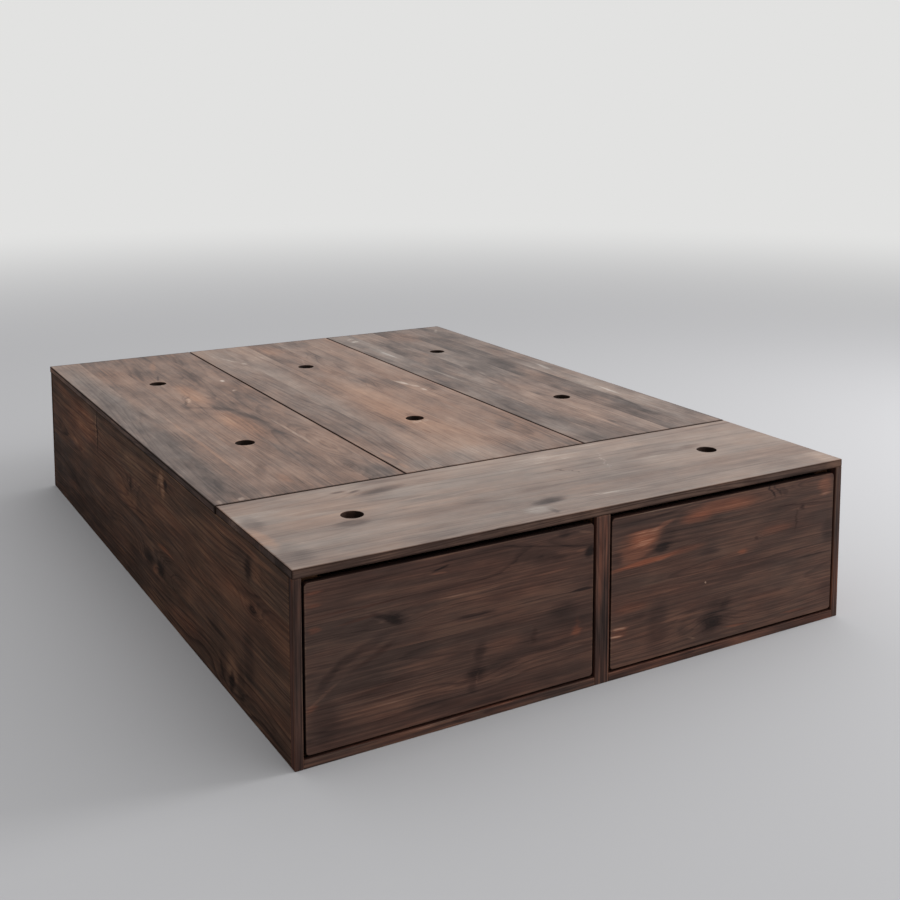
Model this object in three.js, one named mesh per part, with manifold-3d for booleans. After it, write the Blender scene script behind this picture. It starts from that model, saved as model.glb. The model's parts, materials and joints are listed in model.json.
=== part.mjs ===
// A platform storage bed of stained solid wood: a case of boards, four lift-off
// lids with finger holes, and two drawers on telescopic runners at the foot end.
// Millimetres, +Z up. The origin is on the floor under the middle of the bed,
// +X points to the bed's right side and +Y to its head end.

import * as THREE from 'three';
import { ConvexGeometry } from 'three/addons/geometries/ConvexGeometry.js';
import { mergeVertices } from 'three/addons/utils/BufferGeometryUtils.js';
import Module from 'manifold-3d';

const wasm = await Module();
wasm.setup();

// Overall size
const bedWidth = 1400;
const bedLength = 2000;
const caseHeight = 370;
const boardThickness = 18;
const easedEdge = 1.5;

// Front frame
const stileWidth = 18;
const centreStileWidth = 36;
const frameDepth = 18;
const railHeight = 18;

// Lids
const lidThickness = 18;
const lidGap = 2;
const longLidOverhang = 2;
const crossLidDepth = 416;
const middleLidWidth = 496;
const fingerHoleDiameter = 48;
const fingerHoleSegments = 40;
const fingerHoleEase = 2;
const crossHoleFromSide = 225;
const crossHoleFromFoot = 225;
const longHoleFromFoot = 850;
const longHoleFromHead = 409;

// Battens under the lids
const battenWidth = 40;
const battenThickness = 18;
const battenClearance = 3;
const battenFrontGap = 6;
const longLidBattens = 3;

// Inside the case
const bearerWidth = 50;
const bearerThickness = 18;
const floorThickness = 18;

// Drawer fronts
const frontThickness = 18;
const frontSetBack = 1.5;
const frontSideGap = 5.5;
const frontBottomGap = 5.5;
const fingerGap = 12.5;
const frontCornerRadius = 8;
const frontCornerSegments = 6;
const frontEase = 2;

// Drawer boxes
const drawerBackGap = 20;
const drawerBoxHeight = 280;
const drawerBoxLift = 12;
const drawerBoardThickness = 15;
const bottomPanelThickness = 6;
const grooveDepth = 6;
const grooveLift = 10;
const grooveClearance = 0.25;

// Telescopic runners
const runnerHeight = 45;
const runnerThickness = 12.5;
const runnerSheet = 1.5;
const runnerPlay = 0.5;
const runnerLip = 3;
const runnerFrontGap = 2;
const runnerBackGap = 3;
const runnerLift = 70;

// Places that several pieces share
const left = -bedWidth / 2;
const right = bedWidth / 2;
const foot = -bedLength / 2;
const head = bedLength / 2;
const frameBack = foot + frameDepth;
const backBoardFront = head - boardThickness;
const innerLeft = left + boardThickness;
const innerRight = right - boardThickness;
const lidTop = caseHeight + lidThickness;
const crossLidBack = foot + crossLidDepth;
const longLidFront = crossLidBack + lidGap;
const crossSeam = (crossLidBack + longLidFront) / 2;
const bayBackFront = crossSeam - boardThickness;
const binStart = crossSeam + boardThickness;
const longSeam = (middleLidWidth + lidGap) / 2;
const bearerBottom = caseHeight - bearerThickness;
const battenBottom = caseHeight - battenThickness;
const frontFace = foot + frontSetBack;
const boxFront = frontFace + frontThickness;
const boxBack = bayBackFront - drawerBackGap;
const drawerBoxLow = floorThickness + drawerBoxLift;

const finishes = {
  sideWood: new THREE.MeshStandardMaterial({ color: 0x4f3931, roughness: 0.6, metalness: 0 }),
  frontWood: new THREE.MeshStandardMaterial({ color: 0x533b33, roughness: 0.5, metalness: 0 }),
  lidWood: new THREE.MeshStandardMaterial({ color: 0x70564a, roughness: 0.45, metalness: 0 }),
  innerWood: new THREE.MeshStandardMaterial({ color: 0x9a7a58, roughness: 0.7, metalness: 0 }),
  zincSteel: new THREE.MeshStandardMaterial({ color: 0xb4b7ba, roughness: 0.35, metalness: 1 }),
};

const bed = new THREE.Group();

function addPiece(name, geometry, finish) {
  const mesh = new THREE.Mesh(geometry, finish);
  mesh.name = name;
  bed.add(mesh);
}

// A board lies between two values along each axis, and x, y and z are each
// [low, high]. Its eased edges are 45 degree chamfers.

function boxCorners(x, y, z, ease) {
  const points = [];
  for (const i of [0, 1]) {
    for (const j of [0, 1]) {
      for (const k of [0, 1]) {
        const [cx, cy, cz] = [x[i], y[j], z[k]];
        const [dx, dy, dz] = [i, j, k].map((end) => (end ? -ease : ease));
        points.push(new THREE.Vector3(cx, cy + dy, cz + dz));
        points.push(new THREE.Vector3(cx + dx, cy, cz + dz));
        points.push(new THREE.Vector3(cx + dx, cy + dy, cz));
      }
    }
  }
  return points;
}

function easedBoard(x, y, z, ease = easedEdge) {
  return new ConvexGeometry(boxCorners(x, y, z, ease));
}

// A closed outline of [a, b] points carried along one axis from start to end

function prism(outline, axis, start, end) {
  const shape = new THREE.Shape(outline.map(([a, b]) => new THREE.Vector2(a, b)));
  const geometry = new THREE.ExtrudeGeometry(shape, { depth: 1, bevelEnabled: false });
  const position = geometry.attributes.position;
  for (let i = 0; i < position.count; i += 1) {
    const a = position.getX(i);
    const b = position.getY(i);
    const along = position.getZ(i) < 0.5 ? start : end;
    if (axis === 'y') {
      position.setXYZ(i, a, along, b);
    } else {
      position.setXYZ(i, along, a, b);
    }
  }
  if (axis === 'y') {
    turnFacesOver(geometry);
  }
  geometry.computeVertexNormals();
  return geometry;
}

function turnFacesOver(geometry) {
  const position = geometry.attributes.position;
  const second = new THREE.Vector3();
  const third = new THREE.Vector3();
  for (let i = 0; i < position.count; i += 3) {
    second.fromBufferAttribute(position, i + 1);
    third.fromBufferAttribute(position, i + 2);
    position.setXYZ(i + 1, third.x, third.y, third.z);
    position.setXYZ(i + 2, second.x, second.y, second.z);
  }
}

function toSolid(geometry) {
  const bare = geometry.clone();
  bare.deleteAttribute('normal');
  bare.deleteAttribute('uv');
  const merged = mergeVertices(bare);
  return new wasm.Manifold(new wasm.Mesh({
    numProp: 3,
    vertProperties: merged.attributes.position.array,
    triVerts: merged.index.array,
  }));
}

function toGeometry(solid) {
  const mesh = solid.getMesh();
  const geometry = new THREE.BufferGeometry();
  geometry.setAttribute('position', new THREE.BufferAttribute(mesh.vertProperties, 3));
  geometry.setIndex(new THREE.BufferAttribute(mesh.triVerts, 1));
  geometry.computeVertexNormals();
  return geometry;
}

// Lids with finger holes

function fingerHoleCutter(x, y) {
  const radius = fingerHoleDiameter / 2;
  const beyond = fingerHoleEase * 2;
  const profile = [
    new THREE.Vector2(0, caseHeight - beyond),
    new THREE.Vector2(radius + fingerHoleEase + beyond, caseHeight - beyond),
    new THREE.Vector2(radius, caseHeight + fingerHoleEase),
    new THREE.Vector2(radius, lidTop - fingerHoleEase),
    new THREE.Vector2(radius + fingerHoleEase + beyond, lidTop + beyond),
    new THREE.Vector2(0, lidTop + beyond),
  ];
  const cutter = new THREE.LatheGeometry(profile, fingerHoleSegments);
  cutter.rotateX(Math.PI / 2);
  cutter.translate(x, y, 0);
  return toSolid(cutter);
}

function addLid(name, x, y, holes) {
  let solid = toSolid(easedBoard(x, y, [caseHeight, lidTop]));
  for (const [holeX, holeY] of holes) {
    solid = solid.subtract(fingerHoleCutter(holeX, holeY));
  }
  addPiece(name, toGeometry(solid), finishes.lidWood);
}

function addLids() {
  addLid('cross_lid', [left, right], [foot, crossLidBack], [
    [left + crossHoleFromSide, foot + crossHoleFromFoot],
    [right - crossHoleFromSide, foot + crossHoleFromFoot],
  ]);
  const middleEdge = middleLidWidth / 2;
  const runs = {
    left_lid: [left - longLidOverhang, -middleEdge - lidGap],
    middle_lid: [-middleEdge, middleEdge],
    right_lid: [middleEdge + lidGap, right + longLidOverhang],
  };
  for (const [name, x] of Object.entries(runs)) {
    const centre = (x[0] + x[1]) / 2;
    addLid(name, x, [longLidFront, head], [
      [centre, foot + longHoleFromFoot],
      [centre, head - longHoleFromHead],
    ]);
  }
}

// Battens under the lids, which also keep each lid in its place

function addCrossLidBattens() {
  const y = [boxFront + battenFrontGap, bayBackFront - battenClearance];
  const z = [battenBottom, caseHeight];
  const leftX = [innerLeft + battenClearance, innerLeft + battenClearance + battenWidth];
  const rightX = [innerRight - battenClearance - battenWidth, innerRight - battenClearance];
  addPiece('cross_lid_left_batten', easedBoard(leftX, y, z), finishes.innerWood);
  addPiece('cross_lid_right_batten', easedBoard(rightX, y, z), finishes.innerWood);
}

function addLongLidBattens() {
  const bearerReach = longSeam + bearerWidth / 2;
  const bins = {
    left_lid: [innerLeft, -bearerReach],
    middle_lid: [-longSeam + bearerWidth / 2, longSeam - bearerWidth / 2],
    right_lid: [bearerReach, innerRight],
  };
  const first = binStart + battenClearance;
  const last = backBoardFront - battenClearance - battenWidth;
  const pitch = (last - first) / (longLidBattens - 1);
  for (const [lid, bin] of Object.entries(bins)) {
    const x = [bin[0] + battenClearance, bin[1] - battenClearance];
    for (let i = 0; i < longLidBattens; i += 1) {
      const start = first + i * pitch;
      const batten = easedBoard(x, [start, start + battenWidth], [battenBottom, caseHeight]);
      addPiece(`${lid}_batten_${i + 1}`, batten, finishes.innerWood);
    }
  }
}

// Case: outer boards, front frame and inner boards

function addOuterBoards() {
  const z = [0, caseHeight];
  const sideRun = [frameBack, backBoardFront];
  addPiece('left_side_board', easedBoard([left, innerLeft], sideRun, z), finishes.sideWood);
  addPiece('right_side_board', easedBoard([innerRight, right], sideRun, z), finishes.sideWood);
  addPiece('back_board', easedBoard([left, right], [backBoardFront, head], z), finishes.sideWood);
}

function addFrontFrame() {
  const y = [foot, frameBack];
  const z = [0, caseHeight];
  const rail = [0, railHeight];
  const half = centreStileWidth / 2;
  addPiece('left_front_stile', easedBoard([left, left + stileWidth], y, z), finishes.frontWood);
  addPiece('right_front_stile', easedBoard([right - stileWidth, right], y, z), finishes.frontWood);
  addPiece('center_front_stile', easedBoard([-half, half], y, z), finishes.frontWood);
  addPiece('left_bottom_rail', easedBoard([left + stileWidth, -half], y, rail), finishes.frontWood);
  addPiece('right_bottom_rail', easedBoard([half, right - stileWidth], y, rail), finishes.frontWood);
}

function addDrawerBays() {
  const y = [frameBack, bayBackFront];
  const z = [0, caseHeight];
  const floor = [0, floorThickness];
  const inner = [innerLeft, innerRight];
  addPiece('left_drawer_divider', easedBoard([-boardThickness, 0], y, z), finishes.innerWood);
  addPiece('right_drawer_divider', easedBoard([0, boardThickness], y, z), finishes.innerWood);
  addPiece('left_bay_floor', easedBoard([innerLeft, -boardThickness], y, floor), finishes.innerWood);
  addPiece('right_bay_floor', easedBoard([boardThickness, innerRight], y, floor), finishes.innerWood);
  addPiece('drawer_bay_back', easedBoard(inner, [bayBackFront, crossSeam], z), finishes.innerWood);
  addPiece('bin_front_board', easedBoard(inner, [crossSeam, binStart], z), finishes.innerWood);
}

function addBins() {
  const y = [binStart, backBoardFront];
  const floor = [0, floorThickness];
  const halfBoard = boardThickness / 2;
  const halfBearer = bearerWidth / 2;
  for (const [side, seam] of [['left', -longSeam], ['right', longSeam]]) {
    const divider = easedBoard([seam - halfBoard, seam + halfBoard], y, [0, bearerBottom]);
    const bearer = easedBoard([seam - halfBearer, seam + halfBearer], y, [bearerBottom, caseHeight]);
    addPiece(`${side}_bin_divider`, divider, finishes.innerWood);
    addPiece(`${side}_lid_bearer`, bearer, finishes.innerWood);
  }
  const bins = {
    left: [innerLeft, -longSeam - halfBoard],
    middle: [-longSeam + halfBoard, longSeam - halfBoard],
    right: [longSeam + halfBoard, innerRight],
  };
  for (const [name, x] of Object.entries(bins)) {
    addPiece(`${name}_bin_floor`, easedBoard(x, y, floor), finishes.innerWood);
  }
}

// Drawer fronts with rounded corners and an eased face

function roundedOutline(x, z, radius) {
  const points = [];
  const corners = [
    [x[1] - radius, z[1] - radius, 0],
    [x[0] + radius, z[1] - radius, Math.PI / 2],
    [x[0] + radius, z[0] + radius, Math.PI],
    [x[1] - radius, z[0] + radius, Math.PI * 1.5],
  ];
  for (const [centreX, centreZ, start] of corners) {
    for (let i = 0; i <= frontCornerSegments; i += 1) {
      const angle = start + (i / frontCornerSegments) * (Math.PI / 2);
      points.push([centreX + radius * Math.cos(angle), centreZ + radius * Math.sin(angle)]);
    }
  }
  return points;
}

function drawerFront(x, y, z) {
  const full = roundedOutline(x, z, frontCornerRadius);
  const inset = roundedOutline(
    [x[0] + frontEase, x[1] - frontEase],
    [z[0] + frontEase, z[1] - frontEase],
    frontCornerRadius - frontEase,
  );
  const points = [];
  for (const [outline, depth] of [[inset, y[0]], [full, y[0] + frontEase], [full, y[1]]]) {
    for (const [a, b] of outline) {
      points.push(new THREE.Vector3(a, depth, b));
    }
  }
  return new ConvexGeometry(points);
}

// Drawer box boards with the groove that holds the bottom panel.
// inner is the face with the groove, outer the face behind it.

function groovedOutline(outer, inner, low, high) {
  const inward = Math.sign(outer - inner);
  const grooveLow = low + grooveLift;
  const grooveHigh = grooveLow + bottomPanelThickness + 2 * grooveClearance;
  const grooveFloor = inner + inward * grooveDepth;
  return [
    [outer, low],
    [inner, low],
    [inner, grooveLow],
    [grooveFloor, grooveLow],
    [grooveFloor, grooveHigh],
    [inner, grooveHigh],
    [inner, high],
    [outer, high],
  ];
}

function addDrawer(side, bay) {
  const low = drawerBoxLow;
  const high = low + drawerBoxHeight;
  const outerX = [bay[0] + runnerThickness, bay[1] - runnerThickness];
  const innerX = [outerX[0] + drawerBoardThickness, outerX[1] - drawerBoardThickness];
  const innerY = [boxFront + drawerBoardThickness, boxBack - drawerBoardThickness];

  const frontX = [bay[0] + frontSideGap, bay[1] - frontSideGap];
  const frontZ = [railHeight + frontBottomGap, caseHeight - fingerGap];
  addPiece(`${side}_drawer_front`, drawerFront(frontX, [frontFace, boxFront], frontZ), finishes.frontWood);

  const boards = {
    left_side: prism(groovedOutline(outerX[0], innerX[0], low, high), 'y', boxFront, boxBack),
    right_side: prism(groovedOutline(outerX[1], innerX[1], low, high), 'y', boxFront, boxBack),
    inner_front: prism(groovedOutline(boxFront, innerY[0], low, high), 'x', innerX[0], innerX[1]),
    back: prism(groovedOutline(boxBack, innerY[1], low, high), 'x', innerX[0], innerX[1]),
  };
  for (const [name, geometry] of Object.entries(boards)) {
    addPiece(`${side}_drawer_${name}`, geometry, finishes.innerWood);
  }

  const reach = grooveDepth - grooveClearance;
  const panelLow = low + grooveLift + grooveClearance;
  const panel = easedBoard(
    [innerX[0] - reach, innerX[1] + reach],
    [innerY[0] - reach, innerY[1] + reach],
    [panelLow, panelLow + bottomPanelThickness],
    grooveClearance,
  );
  addPiece(`${side}_drawer_bottom`, panel, finishes.innerWood);
}

// Telescopic runners: three nested channels, each a folded sheet.
// wall is the face that the runner is screwed to, and facing is +1 or -1, the
// way from the wall to the drawer.

function channelOutline(wall, facing, near, far, halfHeight, middle, lip) {
  const at = (depth, height) => [wall + facing * depth, middle + height];
  const inside = halfHeight - runnerSheet;
  const upper = [at(near, halfHeight), at(far, halfHeight)];
  if (lip > 0) {
    upper.push(at(far, halfHeight - lip));
    upper.push(at(far - runnerSheet, halfHeight - lip));
    upper.push(at(far - runnerSheet, inside));
  } else {
    upper.push(at(far, inside));
  }
  upper.push(at(near + runnerSheet, inside));
  const lower = upper.map(([a, b]) => [a, 2 * middle - b]).reverse();
  return [...upper, ...lower];
}

function reversedChannelOutline(wall, facing, near, far, halfHeight, middle) {
  const span = near + far;
  return channelOutline(wall + facing * span, -facing, near, far, halfHeight, middle, 0);
}

function addRunner(name, wall, facing) {
  const start = boxFront + runnerFrontGap;
  const end = boxBack - runnerBackGap;
  const middle = drawerBoxLow + runnerLift;
  const step = runnerSheet + runnerPlay;
  const cabinetHalf = runnerHeight / 2;
  const middleHalf = cabinetHalf - step;
  const drawerHalf = middleHalf - step;
  const lipInner = runnerThickness - runnerSheet - runnerPlay;

  const outlines = {
    cabinet: channelOutline(wall, facing, 0, runnerThickness, cabinetHalf, middle, runnerLip),
    intermediate: channelOutline(wall, facing, step, lipInner, middleHalf, middle, 0),
    drawer: reversedChannelOutline(wall, facing, 2 * step, runnerThickness, drawerHalf, middle),
  };
  for (const [member, outline] of Object.entries(outlines)) {
    addPiece(`${name}_${member}_member`, prism(outline, 'y', start, end), finishes.zincSteel);
  }
}

addLids();
addCrossLidBattens();
addLongLidBattens();
addOuterBoards();
addFrontFrame();
addDrawerBays();
addBins();

const bays = {
  left: [innerLeft, -boardThickness],
  right: [boardThickness, innerRight],
};
for (const [side, bay] of Object.entries(bays)) {
  addDrawer(side, bay);
  addRunner(`${side}_drawer_left_runner`, bay[0], 1);
  addRunner(`${side}_drawer_right_runner`, bay[1], -1);
}

export default bed;
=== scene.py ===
# A platform storage bed of dark stained boards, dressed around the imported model:
# a case, four lift-off lids with finger holes and two drawers on steel runners.
# Metres, +Z up. The origin is on the floor under the middle of the bed.

import json
import math
from collections import namedtuple

import bmesh
import bpy
from bpy.props import FloatProperty, FloatVectorProperty, IntProperty, PointerProperty
from bpy.types import Operator, Panel, PropertyGroup
from mathutils import Color, Matrix, Vector

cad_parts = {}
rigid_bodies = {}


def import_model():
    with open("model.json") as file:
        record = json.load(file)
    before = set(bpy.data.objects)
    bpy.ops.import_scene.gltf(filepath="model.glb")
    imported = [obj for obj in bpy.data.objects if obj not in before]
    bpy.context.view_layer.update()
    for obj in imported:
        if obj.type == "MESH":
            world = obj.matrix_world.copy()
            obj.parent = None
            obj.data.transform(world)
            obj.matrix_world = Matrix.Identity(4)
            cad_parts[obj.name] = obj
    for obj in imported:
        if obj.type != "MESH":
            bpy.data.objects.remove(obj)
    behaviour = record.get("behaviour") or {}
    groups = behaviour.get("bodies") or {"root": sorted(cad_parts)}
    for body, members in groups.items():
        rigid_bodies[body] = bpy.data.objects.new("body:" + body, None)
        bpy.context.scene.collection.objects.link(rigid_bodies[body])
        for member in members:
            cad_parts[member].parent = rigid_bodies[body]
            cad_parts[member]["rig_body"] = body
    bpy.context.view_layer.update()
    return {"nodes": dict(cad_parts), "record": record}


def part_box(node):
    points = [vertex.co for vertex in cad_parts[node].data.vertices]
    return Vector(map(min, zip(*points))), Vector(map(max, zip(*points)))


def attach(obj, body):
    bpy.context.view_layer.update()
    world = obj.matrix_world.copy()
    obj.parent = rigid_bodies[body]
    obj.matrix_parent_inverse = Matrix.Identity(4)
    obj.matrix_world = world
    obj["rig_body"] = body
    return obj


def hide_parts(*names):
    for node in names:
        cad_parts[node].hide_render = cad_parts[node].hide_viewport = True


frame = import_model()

bl_info = {
    "name": "Storage Bed",
    "version": (1, 0, 0),
    "blender": (4, 5, 0),
    "location": "3D View > Sidebar > Storage Bed",
    "description": "Dresses a platform storage bed of stained knotty boards",
    "category": "Add Mesh",
}


# Sizes and colours that a user would change

def shade(*levels):
    """A colour given as a screen shows it, 0 to 255, as Blender's linear colour."""
    return tuple(Color([level / 255 for level in levels]).from_srgb_to_scene_linear())


def length(name, description, default):
    return FloatProperty(name=name, description=description, default=default, min=0, unit="LENGTH")


def colour(name, description, default):
    return FloatVectorProperty(
        name=name, description=description, default=default, subtype="COLOR", size=3, min=0, max=1
    )


class BedSizes(PropertyGroup):
    """Edges, holes, screws and the scale of the wood's figure."""

    edge_radius: length("Edge radius", "Rounding of a board's free edges", 0.0016)
    glued_edge_radius: length("Glued edge radius", "Rounding where two boards are glued", 0.0005)
    front_edge_radius: length("Front edge radius", "Rounding round a drawer front", 0.002)
    front_corner_radius: length("Front corner radius", "Corners of a drawer front", 0.008)
    hole_diameter: length("Hole diameter", "Finger holes in the lids", 0.048)
    groove_clearance: length("Groove clearance", "Room round a drawer's bottom panel", 0.00025)
    stave_width: length("Stave width", "Width of the strips that are glued into a board", 0.092)
    ring_width: length("Ring width", "Spacing of the wood's growth rings", 0.0046)
    sheet_bend_radius: length("Bend radius", "Outer bends of the runners' sheet", 0.0006)
    screw_head_diameter: length("Screw head", "Diameter of the wood screws' heads", 0.009)
    screw_head_height: length("Screw head height", "How far a screw's head stands out", 0.0014)
    edge_segments: IntProperty(name="Edge segments", description="Faces round an edge", default=3, min=1)
    hole_segments: IntProperty(name="Hole segments", description="Faces round a hole", default=64, min=12)


class BedColours(PropertyGroup):
    """Stain, bare wood, steel and stage colours."""

    stain_black: colour("Darkest stain", "Hearts of knots", shade(34, 23, 20))
    stain_deep: colour("Deep stain", "Darker growth and smudges", shade(51, 37, 33))
    stain_body: colour("Body stain", "The boards' main colour", shade(81, 63, 56))
    stain_pale: colour("Pale stain", "Lighter growth", shade(112, 89, 76))
    stain_chalk: colour("Lightest stain", "Rubbed spots and specks", shade(168, 146, 130))
    ember_black: colour("Darkest ember", "Reddish wood at knots", shade(30, 16, 12))
    ember_deep: colour("Deep ember", "Darker reddish wood", shade(64, 36, 27))
    ember_body: colour("Ember", "Reddish wood", shade(107, 61, 46))
    ember_pale: colour("Pale ember", "Orange flames", shade(154, 92, 68))
    ember_chalk: colour("Lightest ember", "The palest orange streaks", shade(214, 158, 128))
    # The deck and blush colours are the stain made paler and greyer, a painted sheen for the lids' broad
    # faces
    deck_black: colour("Darkest deck", "Knots on the lids", shade(44, 33, 28))
    deck_deep: colour("Deep deck", "Smudges on the lids", shade(77, 65, 61))
    deck_body: colour("Deck", "The lids' main colour", shade(118, 104, 97))
    deck_pale: colour("Pale deck", "Lighter growth on the lids", shade(149, 137, 129))
    deck_chalk: colour("Lightest deck", "Chalky scuffs on the lids", shade(205, 196, 189))
    blush_deep: colour("Deep blush", "Darker warm wood on the lids", shade(88, 61, 49))
    blush_body: colour("Blush", "Warm wood on the lids", shade(150, 110, 87))
    blush_pale: colour("Pale blush", "Pinkish wood on the lids", shade(176, 137, 112))
    blush_chalk: colour("Lightest blush", "Cream spots on the lids", shade(222, 187, 160))
    side_tint: colour("Side tint", "What the stain is multiplied by on the sides", (1.0, 1.0, 0.88))
    inner_deep: colour("Deep inner wood", "Inside boards, darker growth", shade(74, 50, 35))
    inner_body: colour("Inner wood", "Inside boards with one thin coat of stain", shade(118, 84, 58))
    inner_pale: colour("Pale inner wood", "Inside boards, lighter growth", shade(158, 122, 88))
    zinc: colour("Zinc", "Plated sheet steel", shade(188, 190, 192))
    passivation: colour("Passivation", "Yellow-passivated screws", shade(196, 164, 104))
    floor: colour("Floor", "The stage's floor", shade(188, 188, 190))
    backdrop: colour("Backdrop", "The stage's background", shade(226, 226, 225))


class BedSettings(PropertyGroup):
    """All settings of the bed."""

    sizes: PointerProperty(type=BedSizes)
    colours: PointerProperty(type=BedColours)


# Shader maths as Python expressions

# A noise's repeats per metre along each axis, its levels of detail and their strength
Noise = namedtuple("Noise", "rate detail roughness")


class Wire:
    """One value in a node tree, with the arithmetic that the finishes use."""

    def __init__(self, finish, socket):
        self.finish = finish
        self.socket = socket

    def __add__(self, other):
        return self.finish.maths("ADD", self, other)

    def __sub__(self, other):
        return self.finish.maths("SUBTRACT", self, other)

    def __rsub__(self, other):
        return self.finish.maths("SUBTRACT", other, self)

    def __mul__(self, other):
        return self.finish.maths("MULTIPLY", self, other)

    def __truediv__(self, other):
        return self.finish.maths("DIVIDE", self, other)

    def __rtruediv__(self, other):
        return self.finish.maths("DIVIDE", other, self)

    __radd__ = __add__
    __rmul__ = __mul__


def swing(value, reach):
    """A value from 0 to 1 as a swing about 0, half of the reach to each side."""
    return (value - 0.5) * reach


def opaque(tone, level=1.0):
    """A colour at a level of brightness, with the alpha that a node's socket asks for."""
    return (*(value * level for value in tone), 1.0)


def set_stops(ramp, stops):
    while len(ramp.elements) < len(stops):
        ramp.elements.new(1.0)
    for element, (position, tone) in zip(ramp.elements, stops):
        element.position = position
        element.color = opaque(tone)


class Finish:
    """A node tree, of a material or of the world, and the calls that add nodes to it."""

    def __init__(self, name, owner=None):
        self.owner = owner or bpy.data.materials.new(name)
        self.owner.use_nodes = True
        self.tree = self.owner.node_tree
        self.tree.nodes.clear()

    def node(self, kind, settings=None, inputs=None, output=0):
        """Adds a node, sets its settings, then its sockets' values or links."""
        node = self.tree.nodes.new(kind)
        for name, value in (settings or {}).items():
            if name == "stops":
                set_stops(node.color_ramp, value)
            else:
                setattr(node, name, value)
        for name, value in (inputs or {}).items():
            if isinstance(value, Wire):
                self.tree.links.new(value.socket, node.inputs[name])
            else:
                node.inputs[name].default_value = value
        return Wire(self, node.outputs[output]) if node.outputs else node

    def maths(self, operation, first, second=0.0, clamp=False):
        settings = {"operation": operation, "use_clamp": clamp}
        return self.node("ShaderNodeMath", settings, {0: first, 1: second})

    def clamped(self, value):
        return self.maths("ADD", value, 0.0, clamp=True)

    def step(self, value, low, high, start=0.0, end=1.0):
        """Goes smoothly from start to end as the value goes from low to high."""
        inputs = {"Value": value, "From Min": low, "From Max": high, "To Min": start, "To Max": end}
        return self.node("ShaderNodeMapRange", {"interpolation_type": "SMOOTHSTEP"}, inputs)

    def vector(self, operation, first, second, output="Vector"):
        return self.node("ShaderNodeVectorMath", {"operation": operation}, {0: first, 1: second}, output)

    def combine(self, x, y, z):
        return self.node("ShaderNodeCombineXYZ", None, {"X": x, "Y": y, "Z": z})

    def outputs(self, wire, names):
        """The named outputs of the node that a wire comes from."""
        sockets = wire.socket.node.outputs
        return [Wire(self, sockets[name]) for name in names]

    def separate(self, vector):
        return self.outputs(self.node("ShaderNodeSeparateXYZ", None, {"Vector": vector}), "XYZ")

    def coordinates(self, output="Object"):
        return self.node("ShaderNodeTexCoord", output=output)

    def noise(self, place, pattern, output="Fac"):
        inputs = {
            "Vector": self.vector("MULTIPLY", place, pattern.rate),
            "Scale": 1.0,
            "Detail": pattern.detail,
            "Roughness": pattern.roughness,
        }
        return self.node("ShaderNodeTexNoise", None, inputs, output)

    def chance(self, value, output="Value"):
        return self.node("ShaderNodeTexWhiteNoise", {"noise_dimensions": "1D"}, {"W": value}, output)

    def blob(self, vector, spot, shape="SPHERICAL"):
        """1 at the middle of a turned ellipse, falling to 0 at its rim."""
        rim = 1.4
        depth_reach = 1.0
        inputs = {
            "Vector": vector,
            "Location": (spot.along, spot.across, 0.0),
            "Rotation": (0.0, 0.0, math.radians(spot.turn)),
            "Scale": (spot.long * rim, spot.wide * rim, depth_reach),
        }
        place = self.node("ShaderNodeMapping", {"vector_type": "TEXTURE"}, inputs)
        return self.node("ShaderNodeTexGradient", {"gradient_type": shape}, {"Vector": place}, "Fac")

    def mix(self, factor, first, second):
        """Mixes two colours, on the Mix node's colour sockets."""
        settings = {"data_type": "RGBA", "clamp_factor": True}
        return self.node("ShaderNodeMix", settings, {0: factor, 6: first, 7: second}, 2)

    def mix_shaders(self, factor, first, second):
        return self.node("ShaderNodeMixShader", None, {0: factor, 1: first, 2: second}, "Shader")

    def ramp(self, value, stops):
        return self.node("ShaderNodeValToRGB", {"stops": stops}, {"Fac": value}, "Color")

    def bump(self, height, strength, distance):
        inputs = {"Strength": strength, "Distance": distance, "Height": height}
        return self.node("ShaderNodeBump", None, inputs)

    def surface(self, inputs):
        """Ends the material in one Principled shader."""
        shader = self.node("ShaderNodeBsdfPrincipled", None, inputs)
        self.node("ShaderNodeOutputMaterial", None, {"Surface": shader})
        return self.owner


# Boards and what is known of them. Knots and marks lie on a board's broad face, along the
# grain and across it from the board's low corner, with their reach each way and their turn.

Spot = namedtuple("Spot", "along across long wide turn")
Knot = namedtuple("Knot", "along across radius darkness")
Mark = namedtuple("Mark", "along across long wide turn tone warmth")


def knot(along, across, radius, darkness):
    """A knot, placed in millimetres, with its darkness in percent."""
    return Knot(along / 1000, across / 1000, radius / 1000, darkness / 100)


def mark(along, across, long, wide, tone, warmth=0, turn=0):
    """A stain, a scuff or a broad band of tone, placed in millimetres, with its tone and warmth in percent.
    """
    return Mark(along / 1000, across / 1000, long / 1000, wide / 1000, turn, tone / 100, warmth / 100)


class Board:
    """A board's box and axes: grain along its longest side, depth through its thinnest.

    Where two sides are alike, as on a square rail, the depth runs from front to back.
    """

    def __init__(self, node):
        self.node = node
        self.low, self.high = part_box(node)
        self.size = self.high - self.low
        y_first = (1, 0, 2)
        size_digits = 4
        by_size = sorted(y_first, key=lambda axis: round(self.size[axis], size_digits))
        self.depth, self.across, self.grain = by_size
        self.axes = (self.grain, self.across, self.depth)
        self.seed = sorted(frame["nodes"]).index(node)


# How the boards are stained

# What sets one board's finish apart from another's. Cool and warm are its colours, from dark
# to pale. Figure, grain, stripe and mottle are the strengths of the rings, the fibres, the
# long streaks and the clouds of stain, and blush is how far the warmth varies. Shift is
# added to the tone everywhere, edges on the narrow faces as a painted shade for the gaps and
# the lids' sides, and wear on the edges, where on the lids it is a painted shade of the seams.
WoodLook = namedtuple(
    "WoodLook",
    "cool warm figure grain stripe mottle warmth blush shift edges roughness specular sheen wear "
    "end_reach clouds",
)

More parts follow.
